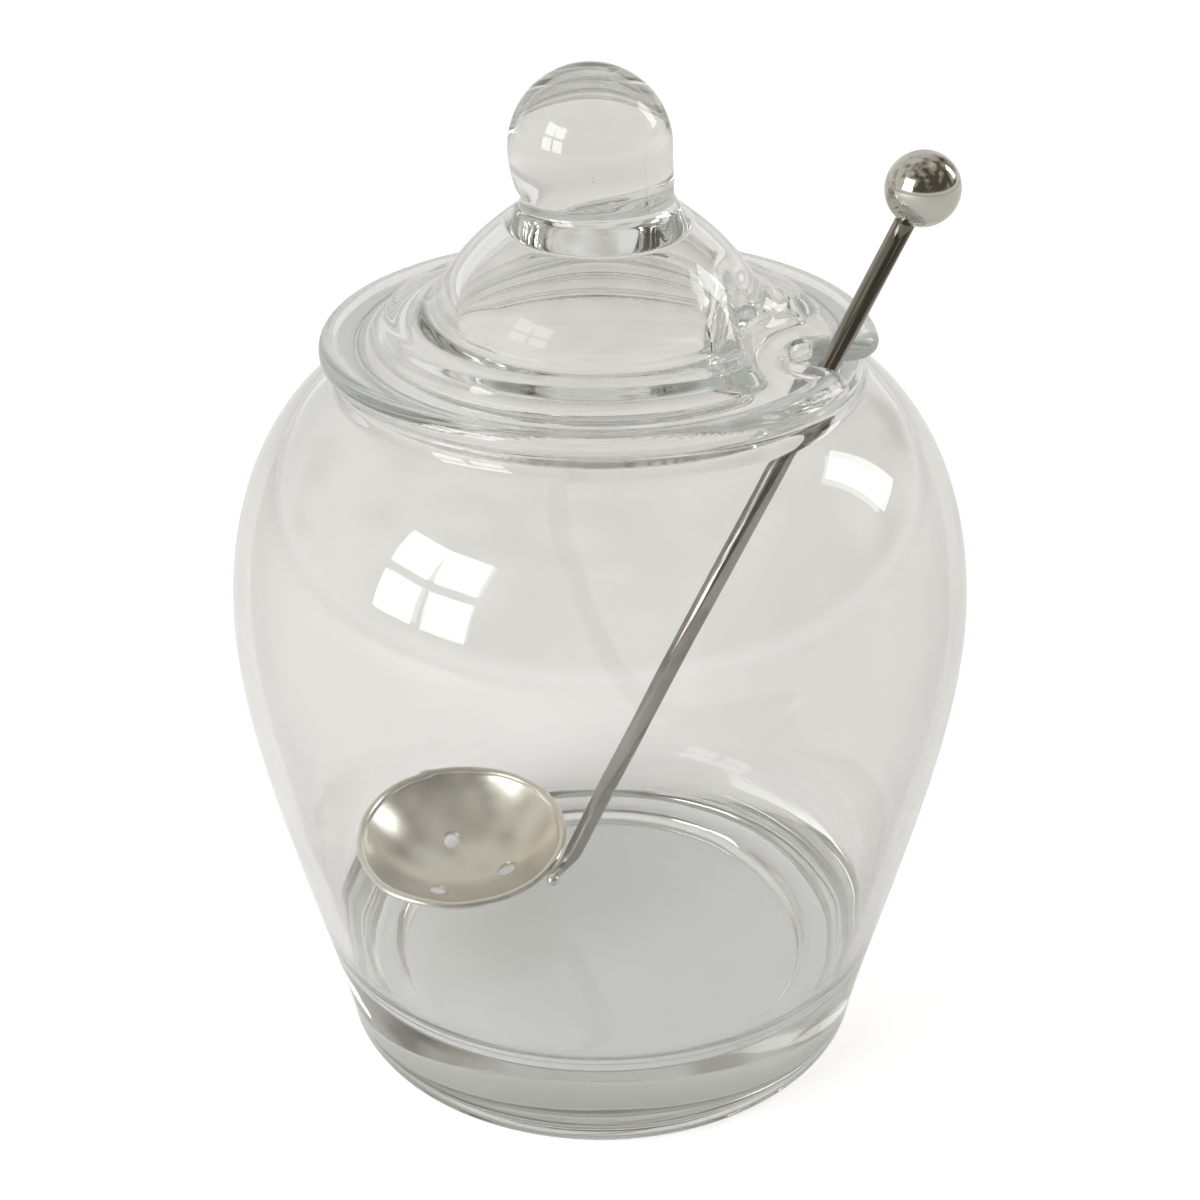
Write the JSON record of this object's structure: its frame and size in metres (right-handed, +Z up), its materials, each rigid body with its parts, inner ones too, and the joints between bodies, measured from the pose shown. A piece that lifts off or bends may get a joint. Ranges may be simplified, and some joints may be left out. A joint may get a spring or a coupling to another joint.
{
  "type": "glass olive jar",
  "caption": "Clear glass jar with a stepped bell lid, a ball knob and a notch for the steel ladle that leans out of it.",
  "frame": {"origin": "centre of the jar's base, on the surface that it stands on", "axes": "+Z up along the jar's axis; -Y faces the viewer of the picture; the ladle leans out towards +X"},
  "size_m": [0.134, 0.134, 0.186],
  "materials": {
    "clear_glass": "fire-polished, clear",
    "satin_steel": "satin, spun",
    "polished_steel": "polished"
  },
  "bodies": {
    "jar": {"jar_body": "clear_glass"},
    "lid": {"lid_cover": "clear_glass", "lid_knob": "clear_glass"},
    "ladle": {"ladle_bowl": "satin_steel", "ladle_handle": "polished_steel", "ladle_ball": "polished_steel"}
  },
  "joints": [
    {"name": "lid_lift", "type": "slide", "parent": "jar", "child": "lid", "axis": [0, 0, 1], "range_m": [0, 0.12]},
    {"name": "ladle_lift", "type": "slide", "parent": "jar", "child": "ladle", "axis": [0.3718, -0.1315, 0.919], "range_m": [0, 0.09]}
  ]
}
